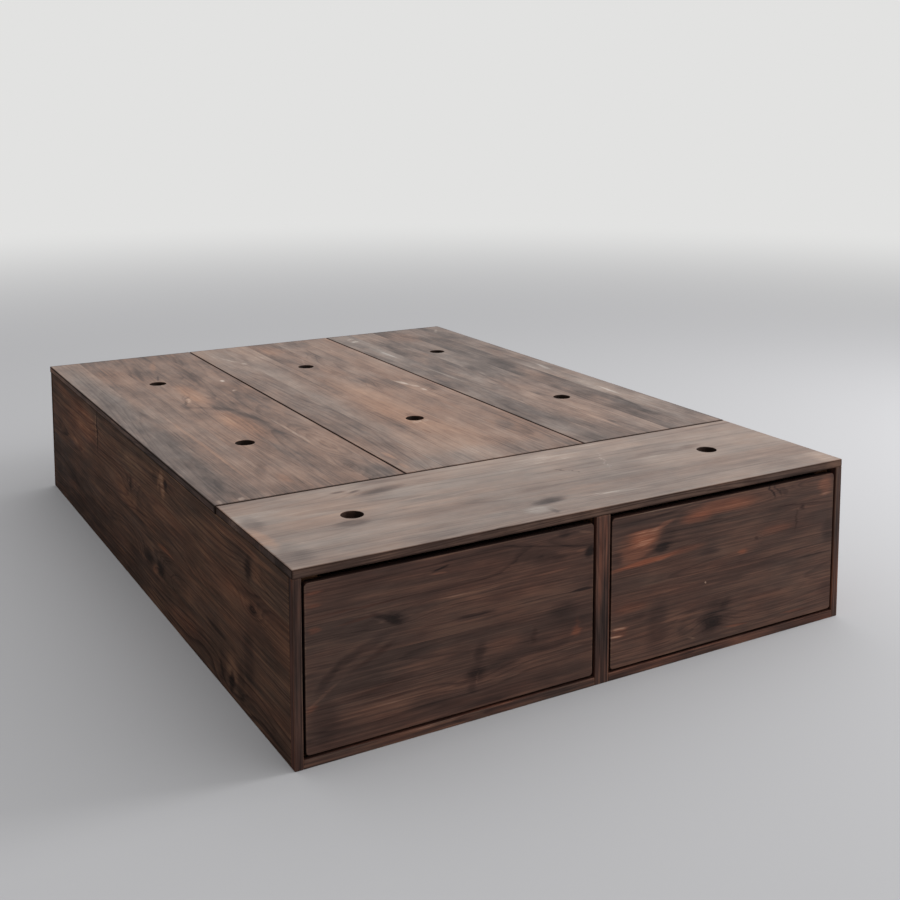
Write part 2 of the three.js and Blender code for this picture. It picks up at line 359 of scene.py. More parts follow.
WANDER = Noise((0.9, 4.0, 4.0), 1.0, 0.5)
STREAKS = Noise((3.6, 140.0, 140.0), 4.0, 0.64)
LINES = Noise((6.0, 320.0, 320.0), 3.0, 0.62)
FIBRES = Noise((30.0, 900.0, 900.0), 2.0, 0.6)
CASE_CLOUDS = Noise((6.0, 24.0, 24.0), 4.0, 0.56)
DECK_CLOUDS = Noise((6.0, 14.0, 14.0), 4.0, 0.64)
EDGE_REACH = 0.0045


def palette(colours, *names):
    """The named colours as evenly spread stops, from dark to pale."""
    return [(number / (len(names) - 1), getattr(colours, name)) for number, name in enumerate(names)]


def stain_look(colours, **changes):
    """The dark stain of the front frame and the drawer fronts."""
    # Edges darkens the narrow faces, a painted shade for the gaps round the drawer fronts
    plain = WoodLook(
        cool=palette(colours, "stain_black", "stain_deep", "stain_body", "stain_pale", "stain_chalk"),
        warm=palette(colours, "ember_black", "ember_deep", "ember_body", "ember_pale", "ember_chalk"),
        figure=0.17, grain=0.46, stripe=0.44, mottle=0.5, clouds=CASE_CLOUDS,
        warmth=0.18, blush=0.55, shift=0.04, edges=-0.3, end_reach=EDGE_REACH,
        roughness=0.55, specular=0.2, sheen=0.0, wear=0.2,
    )
    return plain._replace(**changes)


def side_look(colours):
    """The same stain, duller and tinted, on the sides and the back."""
    dull = stain_look(
        colours,
        figure=0.3, grain=0.6, stripe=0.6, warmth=0.17, shift=0.0, edges=-0.04,
        roughness=0.7, specular=0.06, sheen=-1.0,
    )
    cool, warm = (
        [(position, Vector(tone) * Vector(colours.side_tint)) for position, tone in stops]
        for stops in (dull.cool, dull.warm)
    )
    return dull._replace(cool=cool, warm=warm)


def deck_look(colours, **changes):
    """The lids' stain: silkier, paler and greyer as a painted sheen, with darker edges that paint the shade
    of the seams between lids.
    """
    plain = stain_look(
        colours,
        cool=palette(colours, "deck_black", "deck_deep", "deck_body", "deck_pale", "deck_chalk"),
        warm=palette(colours, "deck_black", "blush_deep", "blush_body", "blush_pale", "blush_chalk"),
        grain=0.5, stripe=0.3, mottle=0.7, clouds=DECK_CLOUDS,
        warmth=0.4, blush=0.65, shift=0.0, edges=-0.17, end_reach=EDGE_REACH * 2,
        roughness=0.46, specular=0.14, wear=-0.9,
    )
    return plain._replace(**changes)


def inner_look(colours):
    """The boards inside the case, with one thin coat of stain."""
    cool = [
        (0.0, colours.stain_deep),
        (0.25, colours.inner_deep),
        (0.55, colours.inner_body),
        (1.0, colours.inner_pale),
    ]
    return stain_look(
        colours,
        cool=cool,
        warm=palette(colours, "ember_deep", "inner_body", "inner_pale"),
        figure=0.3, grain=0.3, stripe=0.5, warmth=0.3, blush=1.0, shift=0.0, edges=0.0,
        roughness=0.6, specular=0.3, wear=0.1,
    )


class Timber(Finish):
    """Stained, edge-glued wood whose rings, knots and stains run through the board."""

    def __init__(self, board, look, sizes):
        super().__init__(f"{board.node}_stain")
        self.board = board
        self.look = look
        self.sizes = sizes
        parts = self.separate(self.vector("SUBTRACT", self.coordinates(), board.low))
        self.along, self.across, self.depth = (parts[axis] for axis in board.axes)
        self.normal = self.separate(self.coordinates("Normal"))

    def cut_staves(self):
        """Every stave is cut from another place in the log."""
        log_length = 9.0
        board_shift = 1.7
        draw_shift = 7.31
        board = self.board
        width = board.size[board.across]
        self.stave_width = width / max(1, round(width / self.sizes.stave_width))
        self.stave = self.maths("FLOOR", self.across / self.stave_width)
        draw = self.chance(self.stave + board.seed * draw_shift, "Color")
        self.slide, self.side, self.deep = self.separate(draw)
        self.in_stave = self.across - (self.stave + 0.5) * self.stave_width
        in_log = self.along + self.slide * log_length + board.seed * board_shift
        self.run = self.combine(in_log, self.across, self.depth)

    def lay_noises(self):
        """The pith's slow wander, streaks, clouds where the stain took unevenly, and fibres."""
        along_feather = 0.03
        across_feather = 0.018
        self.sway, self.rise, self.drift = self.separate(self.noise(self.run, WANDER, "Color"))
        self.take, self.ember, self.sheen = self.separate(self.noise(self.run, self.look.clouds, "Color"))
        self.streak = self.noise(self.run, STREAKS)
        self.line = self.noise(self.run, LINES)
        self.fibre = self.noise(self.run, FIBRES)
        along = self.along + swing(self.streak, along_feather) + swing(self.sheen, along_feather)
        self.feather = self.combine(along, self.across + swing(self.take, across_feather), 0.0)

    def lay_knots(self, knots):
        """Knots push the rings aside."""
        flow_long, flow_wide, push = 9.0, 3.2, 1.6
        heart_long = 1.4
        self.bulge = 0.0
        self.heart = 0.0
        for spot in knots:
            radius = spot.radius
            flow = Spot(spot.along, spot.across, radius * flow_long, radius * flow_wide, 0.0)
            self.bulge = self.blob(self.feather, flow, "QUADRATIC_SPHERE") * (radius * push) + self.bulge
            heart = Spot(spot.along, spot.across, radius * heart_long, radius, 0.0)
            self.heart = self.maths("MAXIMUM", self.blob(self.feather, heart) * spot.darkness, self.heart)

    def lay_rings(self):
        """Rings round the pith, each darker towards its late wood."""
        side_reach, side_sway = self.stave_width * 1.3, 0.10
        least_deep, deep_reach, deep_sway = 0.012, 0.05, 0.12
        streak_push = 0.003
        late_from, late_to = 0.2, 0.85
        ring_lift = 0.2
        stave_shift = 17.0
        to_side = self.in_stave - (swing(self.side, side_reach) + swing(self.sway, side_sway))
        to_pith = self.depth + (self.deep * deep_reach + least_deep + swing(self.rise, deep_sway))
        radius = self.maths("SQRT", to_side * to_side + to_pith * to_pith)
        ring = (radius + self.bulge + self.streak * streak_push) / self.sizes.ring_width
        number = self.maths("FLOOR", ring)
        part = ring - number
        self.late = self.step(part, late_from, late_to) * self.step(part, late_to, 1.0, 1.0, 0.0)
        self.rings = self.late * (ring_lift - self.chance(number + self.stave * stave_shift))

    def lay_stain(self, marks):
        """The tone runs from dark to pale, the warmth from grey brown to orange."""
        look = self.look
        drift_mottle = look.mottle * 0.6
        fibre_reach, stave_reach, deep_reach = 0.12, 0.05, 0.12
        mark_core = 0.7
        heart_core, heart_dark, heart_ripple, heart_rings = 0.5, 0.17, 0.04, 40.0
        tone = self.rings * look.figure + swing(self.line, look.grain) + swing(self.streak, look.stripe)
        tone = tone + swing(self.take, look.mottle) + swing(self.drift, drift_mottle)
        tone = tone + swing(self.fibre, fibre_reach) + swing(self.slide, stave_reach) + (0.5 + look.shift)
        warmth = swing(self.ember, look.blush) + (self.streak + self.take - 1.0) * (look.blush / 2)
        warmth = warmth + swing(self.deep, deep_reach) + look.warmth
        for spot in marks:
            cover = self.step(self.blob(self.feather, spot), 0.0, mark_core)
            if spot.tone:
                tone = cover * spot.tone + tone
            if spot.warmth:
                warmth = cover * spot.warmth + warmth
        ripple = self.maths("SINE", self.heart * heart_rings)
        dark = heart_dark + heart_ripple * ripple
        self.tone = tone - self.step(self.heart, 0.0, heart_core) * dark
        self.warmth = warmth

    def facing(self, axis):
        """1 on the faces that look along an axis, 0 on the others."""
        turned_away, turned_to = 0.5, 0.8
        return self.step(self.maths("ABSOLUTE", self.normal[axis]), turned_away, turned_to)

    def inside(self, place, axis):
        """How far a place lies in from the board's faces on an axis."""
        half = self.board.size[axis] / 2
        return half - self.maths("ABSOLUTE", place - half)

    def wear_and_shade_edges(self):
        """End grain drinks more stain, glue lines are thin and dark, edges are rubbed, and narrow faces and
        hole walls get painted shade.
        """
        glue_width = 0.0012
        end_dark, glue_dark, hole_painted_shade = 0.18, 0.04, 0.3
        hole_from, hole_to = 0.01, 0.02
        least_wear = 0.1
        narrow_warmth, rubbed_warmth = 0.3, 0.45
        board, look = self.board, self.look
        end_grain = self.facing(board.grain)
        self.narrow = 1.0 - self.facing(board.depth)
        half = self.stave_width / 2
        self.glue = self.step(self.maths("ABSOLUTE", self.in_stave), half - glue_width, half)

        # A place is near an edge where it is near the faces on two of the three axes
        in_ends = self.inside(self.along, board.grain)
        in_sides = self.inside(self.across, board.across)
        in_faces = self.inside(self.depth, board.depth)
        in_holes = self.step(self.maths("MINIMUM", in_ends, in_sides), hole_from, hole_to)
        in_ends = in_ends * (EDGE_REACH / look.end_reach)
        least = self.maths("MINIMUM", in_ends, in_sides)
        most = self.maths("MAXIMUM", in_ends, in_sides)
        second = self.maths("MAXIMUM", least, self.maths("MINIMUM", most, in_faces))
        self.edges = self.step(second, 0.0, EDGE_REACH, 1.0, 0.0)

        rubbed = self.edges * look.wear
        tone = self.tone - end_grain * end_dark - self.glue * glue_dark + rubbed * (self.streak + least_wear)
        # Painted shade: narrow faces take the look's edges tone, hole walls are darker still, and narrow
        # faces turn redder
        self.tone = self.clamped(tone + self.narrow * (look.edges - in_holes * hole_painted_shade))
        self.warmth = self.clamped(self.warmth + self.narrow * narrow_warmth - rubbed * rubbed_warmth)

    def material(self):
        """Ends the board's material in its colour, its sheen and the relief of its grain."""
        look, line, narrow, edges = self.look, self.line, self.narrow, self.edges
        line_matt, cloud_matt, narrow_matt, edge_matt = 0.2, 0.3, 0.3, 0.5
        cloud_gloss, coat_roughness = 0.5, 0.32
        grain_high, late_high, glue_deep = 0.3, 0.25, 0.4
        knot_deep, knot_from, knot_to = 0.5, 0.2, 0.8
        relief, relief_depth = 0.3, 0.0005
        sunk = self.glue * glue_deep + self.step(self.heart, knot_from, knot_to) * knot_deep
        height = self.fibre * grain_high + line * grain_high + self.late * late_high - sunk
        matt = swing(line, line_matt) + swing(self.sheen, cloud_matt) + narrow * narrow_matt
        gloss = look.sheen + swing(self.sheen, cloud_gloss) - narrow - edges
        cool = self.ramp(self.tone, look.cool)
        warm = self.ramp(self.tone, look.warm)
        return self.surface({
            "Base Color": self.mix(self.warmth, cool, warm),
            "Roughness": self.clamped(look.roughness + matt + edges * edge_matt),
            "Specular IOR Level": look.specular,
            "Coat Weight": self.clamped(gloss),
            "Coat Roughness": coat_roughness,
            "Normal": self.bump(height, relief, relief_depth),
        })


def wood(board, look, sizes):
    """The material of one board, with its own staves, knots and marks."""
    knots, marks = spots_of(board)
    timber = Timber(board, look, sizes)
    timber.cut_staves()
    timber.lay_noises()
    timber.lay_knots(knots)
    timber.lay_rings()
    timber.lay_stain(marks)
    timber.wear_and_shade_edges()
    return timber.material()


# Steel

def zinc_steel(colours):
    """Plated sheet steel with the fine lines of its rolling."""
    dullest = 0.78
    smoothest, roll_matt = 0.26, 0.2
    relief, relief_depth = 0.2, 0.0002
    finish = Finish("zinc_plated_steel")
    place = finish.coordinates()
    rolled = finish.noise(place, Noise((900.0, 12.0, 900.0), 3.0, 0.6))
    spangle = finish.noise(place, Noise((90.0, 60.0, 90.0), 2.0, 0.5))
    return finish.surface({
        "Base Color": finish.mix(spangle, opaque(colours.zinc, dullest), opaque(colours.zinc)),
        "Metallic": 1.0,
        "Roughness": smoothest + rolled * roll_matt,
        "Normal": finish.bump(rolled, relief, relief_depth),
    })


def screw_steel(colours):
    """Yellow-passivated screws, a little uneven in their plating."""
    dullest = 0.6
    smoothest, patch_matt = 0.3, 0.2
    finish = Finish("passivated_screws")
    patch = finish.noise(finish.coordinates(), Noise((700.0, 700.0, 700.0), 2.0, 0.5))
    return finish.surface({
        "Base Color": finish.mix(patch, opaque(colours.passivation, dullest), opaque(colours.passivation)),
        "Metallic": 1.0,
        "Roughness": smoothest + patch * patch_matt,
    })


# Making pieces

def finish_piece(name, mesh, node, material):
    """Turns a bmesh into a shown piece that stands for a CAD node."""
    for face in mesh.faces:
        face.smooth = True
    data = bpy.data.meshes.new(name)
    mesh.to_mesh(data)
    mesh.free()
    piece = bpy.data.objects.new(name, data)
    bpy.context.scene.collection.objects.link(piece)
    data.materials.append(material)
    flat = piece.modifiers.new("even faces", "WEIGHTED_NORMAL")
    flat.weight = 100
    flat.keep_sharp = True
    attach(piece, frame["nodes"][node]["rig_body"])
    return piece


def bevel(mesh, edges, radius, segments):
    bmesh.ops.bevel(
        mesh,
        geom=edges,
        offset=radius,
        offset_type="OFFSET",
        segments=segments,
        profile=0.5,
        affect="EDGES",
        material=-1,
        clamp_overlap=True,
    )


def cuboid(board):
    mesh = bmesh.new()
    place = Matrix.LocRotScale((board.low + board.high) / 2, None, board.size)
    bmesh.ops.create_cube(mesh, size=1.0, matrix=place)
    return mesh


def eased_board(board, radius, segments):
    mesh = cuboid(board)
    bevel(mesh, mesh.edges[:], radius, segments)
    return mesh


def sharp_edges(mesh):
    """Edges whose two faces meet at a corner."""
    corner = math.radians(50)
    return [edge for edge in mesh.edges if abs(edge.calc_face_angle(0.0)) > corner]


def raise_faces(mesh, faces, shift):
    """Makes flat faces into a closed solid, as thick as the shift."""
    raised = bmesh.ops.extrude_face_region(mesh, geom=faces)["geom"]
    far = [item for item in raised if isinstance(item, bmesh.types.BMVert)]
    bmesh.ops.translate(mesh, vec=shift, verts=far)
    bmesh.ops.recalc_face_normals(mesh, faces=mesh.faces[:])


def lid_with_holes(board, holes, sizes):
    """A lid cut through by round finger holes, with every rim rounded."""
    mesh = bmesh.new()
    low, high = board.low, board.high
    corners = [(low.x, low.y), (high.x, low.y), (high.x, high.y), (low.x, high.y)]
    outline = [mesh.verts.new((x, y, low.z)) for x, y in corners]
    for first, second in zip(outline, outline[1:] + outline[:1]):
        mesh.edges.new((first, second))
    for x, y in holes:
        bmesh.ops.create_circle(
            mesh,
            cap_ends=False,
            radius=sizes.hole_diameter / 2,
            segments=sizes.hole_segments,
            matrix=Matrix.Translation((x, y, low.z)),
        )
    bmesh.ops.triangle_fill(mesh, use_beauty=True, use_dissolve=False, edges=mesh.edges[:])
    raise_faces(mesh, mesh.faces[:], (0, 0, board.size.z))
    bevel(mesh, sharp_edges(mesh), sizes.edge_radius, sizes.edge_segments)
    return mesh


def drawer_front(board, sizes):
    """A front with rounded corners and a rounded edge all round its face."""
    mesh = cuboid(board)
    corners = [edge for edge in mesh.edges if edge.verts[0].co.xz == edge.verts[1].co.xz]
    corner_segments = sizes.edge_segments * 2
    bevel(mesh, corners, sizes.front_corner_radius, corner_segments)
    bevel(mesh, sharp_edges(mesh), sizes.front_edge_radius, sizes.edge_segments)
    return mesh


def merged_copy(node):
    """A copy of a CAD node's mesh with its loose triangles joined into whole faces."""
    merge_distance = 1e-5
    flat_angle = math.radians(1)
    mesh = bmesh.new()
    mesh.from_mesh(frame["nodes"][node].data)
    bmesh.ops.remove_doubles(mesh, verts=mesh.verts[:], dist=merge_distance)
    bmesh.ops.dissolve_limit(mesh, angle_limit=flat_angle, verts=mesh.verts[:], edges=mesh.edges[:])
    return mesh


def scale_face(mesh, face, scale, verts=None):
    """Scales a face, or some of its corners, about its middle."""
    middle = Matrix.Translation(-face.calc_center_median())
    bmesh.ops.scale(mesh, vec=(scale, scale, scale), space=middle, verts=verts or face.verts)


def extrude_face(mesh, face, shift, scale=1.0):
    """Pulls a face out by a shift, scales it about its middle and returns it."""
    moved = bmesh.ops.extrude_face_region(mesh, geom=[face, *face.edges])["geom"]
    face = next(item for item in moved if isinstance(item, bmesh.types.BMFace))
    bmesh.ops.translate(mesh, vec=shift, verts=face.verts)
    scale_face(mesh, face, scale)
    return face


def screw_head(mesh, place, way, sizes):
    """Adds a low domed head with a star recess, standing on a board's face."""
    star_points, corners_of_point = 6, 4
    rim_share, shoulder_share, crown_share, recess_share = 0.5, 0.35, 0.15, -0.6
    shoulder_scale, crown_scale, recess_scale = 0.86, 0.62, 0.9
    star_margin, star_waist = 0.1, 0.7
    radius = sizes.screw_head_diameter / 2
    height = Vector(way) * sizes.screw_head_height
    ring = bmesh.ops.create_circle(
        mesh,
        cap_ends=True,
        radius=radius,
        segments=star_points * corners_of_point,
        matrix=Matrix.LocRotScale(place, Vector(way).to_track_quat("Z", "Y"), None),
    )["verts"]
    face = extrude_face(mesh, ring[0].link_faces[0], height * rim_share)
    face = extrude_face(mesh, face, height * shoulder_share, shoulder_scale)
    face = extrude_face(mesh, face, height * crown_share, crown_scale)
    bmesh.ops.inset_region(mesh, faces=[face], thickness=radius * star_margin)
    half_point = corners_of_point // 2
    waists = [v for number, v in enumerate(face.verts) if number % corners_of_point >= half_point]
    scale_face(mesh, face, star_waist, waists)
    extrude_face(mesh, face, height * recess_share, recess_scale)


def grooved_board(board, panel, sizes):
    """A drawer box board with a groove for the edge of the bottom panel."""
    low, high = board.low, board.high
    panel_low, panel_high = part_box(panel)
    clearance = sizes.groove_clearance
    thin = board.depth
    inward = (panel_low + panel_high)[thin] > (low + high)[thin]
    inner, outer = (high[thin], low[thin]) if inward else (low[thin], high[thin])
    reach = panel_low[thin] - clearance if inward else panel_high[thin] + clearance
    bottom, top = panel_low.z - clearance, panel_high.z + clearance
    outline = [
        (outer, low.z),
        (inner, low.z),
        (inner, bottom),
        (reach, bottom),
        (reach, top),
        (inner, top),
        (inner, high.z),
        (outer, high.z),
    ]
    mesh = bmesh.new()
    verts = []
    for across, z in outline:
        corner = Vector((0, 0, z))
        corner[thin] = across
        corner[board.grain] = low[board.grain]
        verts.append(mesh.verts.new(corner))
    way = Vector((0, 0, 0))
    way[board.grain] = board.size[board.grain]
    raise_faces(mesh, [mesh.faces.new(verts)], way)
    outer_edges = [edge for edge in sharp_edges(mesh) if edge.is_convex]
    bevel(mesh, outer_edges, sizes.glued_edge_radius, sizes.edge_segments)
    return mesh


def replace_board(node, look, sizes, mesh=None, radius=None):
    """Replaces a CAD board by its finished piece."""
    board = Board(node)
    if mesh is None:
        mesh = eased_board(board, radius or sizes.edge_radius, sizes.edge_segments)
    piece = finish_piece(f"{node}_wood", mesh, node, wood(board, look, sizes))
    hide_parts(node)


# Knots and marks of the boards that show. All are placed from the board's low corner.

LEFT_SIDE_KNOTS = [
    knot(214, 312, 16, 70),
    knot(190, 238, 12, 60),
    knot(318, 32, 18, 50),
    knot(764, 336, 12, 70),
    knot(815, 112, 16, 60),
    knot(915, 110, 22, 50),
    knot(1066, 254, 12, 60),
    knot(1404, 320, 10, 30),
]
LEFT_SIDE_MARKS = [
    mark(290, 352, 260, 10, 12, 15),
    mark(1590, 305, 190, 50, 10, 22),
    mark(1500, 334, 80, 16, 5, 12),
    mark(1820, 342, 140, 15, 11, 20),
    mark(790, 327, 18, 34, 20, 15, -8),
    mark(816, 330, 8, 28, 14, 10, 24),
    mark(762, 336, 14, 14, -19),
    mark(728, 336, 32, 12, -11),
    mark(850, 332, 22, 18, -11),
    mark(212, 312, 14, 28, -17),
    mark(170, 326, 22, 26, 8, 10),
    mark(192, 238, 30, 10, -14),
    mark(1402, 308, 6, 60, -26),
    mark(1416, 322, 7, 50, 14, 5),
    mark(1066, 254, 11, 24, -14),
    mark(1034, 210, 20, 14, 11, 5),
    mark(1250, 235, 120, 30, 6),
    mark(470, 171, 100, 6, 17, 15),
    mark(330, 163, 70, 5, 8, 10),
    mark(780, 170, 60, 6, 12, 45),
    mark(815, 112, 30, 18, -13),
    mark(915, 110, 45, 24, -14, -4),
    mark(858, 98, 24, 11, 14, 20, -22),
    mark(318, 50, 30, 44, 16, 5),
    mark(318, 36, 13, 30, -24),
    mark(264, 50, 20, 40, -11),
    mark(378, 50, 22, 40, -11),
    mark(212, 125, 30, 60, -12),
    mark(1600, 70, 330, 60, -8, -3),
    mark(1920, 110, 50, 100, -7),
    mark(620, 50, 110, 16, 6, 20),
    # Broad bands: the side is lighter along its top and darker along its bottom
    mark(1700, 300, 340, 80, 8, 10),
    mark(1100, 285, 480, 80, 5, 5),
    mark(350, 275, 300, 80, 5, 5),
    mark(1000, 45, 1050, 80, -6),
]
RIGHT_FRONT_KNOTS = [
    knot(137, 247, 12, 80),
    knot(284, 48, 20, 60),
    knot(478, 322, 12, 15),
    knot(410, 219, 5, 30),
    knot(551, 266, 6, 40),
]
RIGHT_FRONT_MARKS = [
    mark(68, 260, 52, 36, 8, 42),
    mark(92, 277, 44, 18, 18, 40, 10),
    mark(140, 297, 36, 5, 20, 30, 12),
    mark(75, 291, 35, 4, 12, 20, 4),
    mark(137, 246, 26, 9, -20, -6, 6),
    mark(146, 270, 26, 16, -11, -3),
    mark(100, 237, 22, 5, -12, 0, 10),
    mark(14, 244, 18, 14, -16, -4),
    mark(88, 222, 88, 6.5, 18, 80, 3),
    mark(205, 230, 55, 9, 4, 32, 2),
    mark(232, 297, 46, 14, 12, 50),
    mark(310, 312, 95, 16, 7, 50),
    mark(315, 282, 120, 2, -16, 5),
    mark(545, 274, 110, 2, -16, 5, -4),
    mark(627, 310, 24, 20, 14, 36),
    mark(627, 289, 20, 4, 19, 20),
    mark(456, 322, 20, 3, -31, 0, -50),
    mark(474, 322, 20, 2.6, -19, 0, -45),
    mark(494, 316, 14, 7, -11, 0, -40),
    mark(532, 240, 26, 3.6, -14, 5, 86),
    mark(551, 266, 8, 6, -14, 5),
    mark(410, 219, 6, 4.5, -10, 10),
    mark(470, 228, 52, 11, 5, 30),
    mark(367, 194, 14, 7, 8, 45),
    mark(330, 186, 70, 12, 4, 15, 10),
    mark(275, 212, 30, 7, -14, -2, 2),
    mark(592, 146, 60, 2.4, -24),
    mark(450, 137, 80, 1.8, 11),
    mark(261, 142, 3, 2.2, 70, -4, -35),
    mark(50, 128, 48, 10, 4, 28),
    mark(62, 101, 36, 6, -13),
    mark(20, 87, 22, 3.2, 32, 12, -2),
    mark(12, 72, 18, 2.4, 29, 15, -6),
    mark(20, 78, 26, 12, 2, 28),
    mark(125, 70, 28, 62, -11, -2),
    mark(180, 86, 30, 12, 10),
    mark(198, 48, 16, 18, -7, -3),
    mark(290, 55, 50, 38, -13, -1, 30),
    mark(280, 44, 30, 20, -10, 0, 30),
    mark(252, 58, 18, 8, -11),
    mark(320, 80, 18, 12, -11, -3, 40),
    mark(222, 21, 10, 3, 22, -2, -20),
    mark(640, 193, 22, 26, -14, -3),
    mark(637, 56, 28, 15, -12, -2),
    mark(355, 23, 34, 3.5, 4, 45, -5),
    mark(542, 17, 42, 3.5, 4, 40, -4),
    mark(520, 80, 110, 40, 4),
    mark(100, 318, 100, 5, -6, 5),
]
LEFT_FRONT_KNOTS = [
    knot(182, 228, 13, 60),
    knot(520, 286, 14, 10),
    knot(368, 74, 13, 60),
    knot(642, 273, 9, 90),
]
LEFT_FRONT_MARKS = [
    mark(289, 307, 16, 2.8, -36, 0, 12),
    mark(284, 298, 18, 1.8, 18, 20, -5),
    mark(345, 318, 115, 2, -14),
    mark(520, 309, 95, 2.4, -16, 0, -10),
    mark(525, 285, 56, 14, -10, -2, -10),
    mark(560, 279, 22, 8, -7, 0, -15),
    mark(580, 325, 14, 8, -13),
    mark(628, 321, 20, 3, 16, 0, -15),
    mark(642, 272, 11, 12, -24),
    mark(620, 279, 12, 5, 12, 10),
    mark(120, 266.5, 115, 2.2, -12, 20),
    mark(330, 266.5, 90, 1.6, -7, 10),
    mark(370, 246.5, 120, 1.8, 12, 5),
    mark(540, 248, 60, 2, 7, 10, 3),
    mark(170, 230, 34, 8, -19, 0, -28),
    mark(194, 223, 18, 12, -12, -4),
    mark(158, 226, 14, 4, 12, 0, -25),
    mark(98, 226, 55, 22, -7, -3),
    mark(105, 241, 50, 3, -4, 25, 3),
    mark(135, 188, 45, 8, -14, -1, 14),
    mark(82, 168, 32, 10, -14, -1, 28),
    mark(46, 142, 32, 10, -14, 0, 46),
    mark(142, 163, 48, 6, -11, 10, 24),
    mark(35, 110, 48, 3.2, 11, 10, 28),
    mark(150, 124, 85, 2.8, 11, 5, 1),
    mark(40, 65, 28, 48, -11, -4),
    mark(12, 90, 14, 6, 6, 32, 25),
    mark(140, 56, 90, 15, 11, 5),
    mark(165, 72.5, 80, 2.2, -11, 10, 2),
    mark(165, 98, 62, 6, -7, 10, 8),
    mark(368, 196.5, 44, 3.6, -29),
    mark(285, 196, 42, 1.6, -13),
    mark(530, 197.5, 90, 1.4, -14),
    mark(624, 196.5, 32, 2.4, -34),
    mark(435, 122, 46, 22, 8, 10),
    mark(376, 116, 14, 20, -16),
    mark(368, 72, 26, 17, -16),
    mark(336, 62, 16, 4, -12),
    mark(362, 46, 10, 12, -11),
    mark(372, 66, 2.4, 13, 14),
    mark(425, 78, 38, 13, -10, -5),
    mark(345, 30, 115, 22, -6, -4),
    mark(503, 122, 8, 17, -10, 8),
    mark(545, 90, 48, 9, -12, -3, 4),
    mark(578, 160, 36, 19, -10, -5),
    mark(610, 109, 13, 10, 12, 45),
    mark(613, 126, 6, 12, 4, 25),
    mark(18, 239, 15, 7, 8, 42),
    mark(20, 287, 14, 5, 4, 30),
    mark(16, 313, 17, 4, 11, 36),
    mark(600, 73, 28, 2.2, 16),
    mark(95, 190, 135, 110, -3, -16),
    mark(420, 260, 220, 60, 3, 5),
]
CENTER_STILE_MARKS = [
    mark(95, 16, 120, 20, -12, -20),
    mark(260, 12, 100, 5, 12, 30),
    mark(310, 25, 80, 4, 10, 20),
    mark(180, 31, 170, 3, -14),
]
LEFT_LID_KNOTS = [
    knot(925, 238, 9, 30),
    knot(126, 366, 18, 35),
]
LEFT_LID_MARKS = [
    mark(600, 280, 170, 42, 7, 45, -3),
    mark(985, 272, 140, 28, 7, 45),
    mark(922, 238, 24, 8, 34, 15, 15),
    mark(905, 226, 30, 5, -22, 0, 20),
    mark(855, 210, 34, 18, -13, 0, 20),
    mark(480, 336, 140, 9, -11),
    mark(680, 326, 90, 12, -12, 0, -12),
    mark(790, 282, 60, 18, -13, 0, -45),
    mark(835, 232, 30, 14, -9, 0, -60),
    mark(470, 127, 330, 6, 10, 25),
    mark(700, 34, 820, 60, -7, -36),
    mark(125, 365, 56, 26, -14, -10, 8),
    mark(45, 405, 70, 36, -9, -35),
    mark(197, 178, 80, 14, -9, 0, 22),
    mark(1107, 408, 13, 7, 42, -20, 10),
    mark(978, 395, 11, 6, 36, -20, 30),
    mark(465, 370, 145, 4, 15, -10, -2),
    mark(1410, 280, 75, 10, 8, 30, 16),
    mark(1300, 130, 240, 60, 2, 15),
    mark(1260, 345, 180, 12, -9, 0, 3),
    mark(1330, 210, 150, 8, -12, 0, 8),
    mark(15, 65, 10, 9, 30),
    mark(20, 16, 16, 6, 22),
    mark(110, 202, 40, 12, 2, 25),
    mark(1240, 245, 40, 3, -20, 0, 12),
]
MIDDLE_LID_KNOTS = [
    knot(906, 308, 14, 15),
    knot(1365, 325, 18, 20),
]
MIDDLE_LID_MARKS = [
    mark(500, 272, 410, 110, 3, 24),
    mark(580, 235, 220, 55, 4, 18),
    mark(252, 420, 48, 22, -7, -20, 25),
    mark(712, 428, 18, 7, 28, -10),
    mark(765, 424, 22, 9, 26, -10, -20),
    mark(818, 411, 38, 9, 28, -15, -14),
    mark(770, 462, 90, 18, -11, -5),
    mark(846, 440, 36, 11, -9, -10),
    mark(700, 448, 22, 10, -11),
    mark(395, 234, 18, 9, 16, -15, 60),
    mark(393, 262, 14, 6, 12, -10, 40),
    mark(906, 308, 42, 26, -9, -20),
    mark(800, 72, 780, 80, -3, -18),
    mark(1050, 176, 440, 4, -14, 0, -1),
    mark(300, 173, 200, 3, -10),
    mark(1290, 328, 105, 13, -11, -5, 10),
    mark(1365, 324, 46, 20, -10, -10),
    mark(1340, 348, 110, 4, -16, 0, 5),
    mark(1313, 93, 18, 7, 24),
    mark(1390, 68, 72, 5, 11, 0, -19),
    mark(1458, 240, 78, 36, 3, 28),
    mark(1080, 300, 85, 30, 4, 22),
    mark(60, 22, 25, 7, 12, 35),
    mark(155, 28, 32, 7, 12, 35),
    mark(50, 250, 64, 260, 0, -22),
    mark(1520, 340, 60, 80, -7, -10),
    mark(1240, 268, 52, 3, 11, 0, 20),
    mark(300, 214, 24, 3, -20, 20),
]
RIGHT_LID_KNOTS = [
    knot(180, 332, 18, 30),
    knot(1480, 240, 14, 20),
]
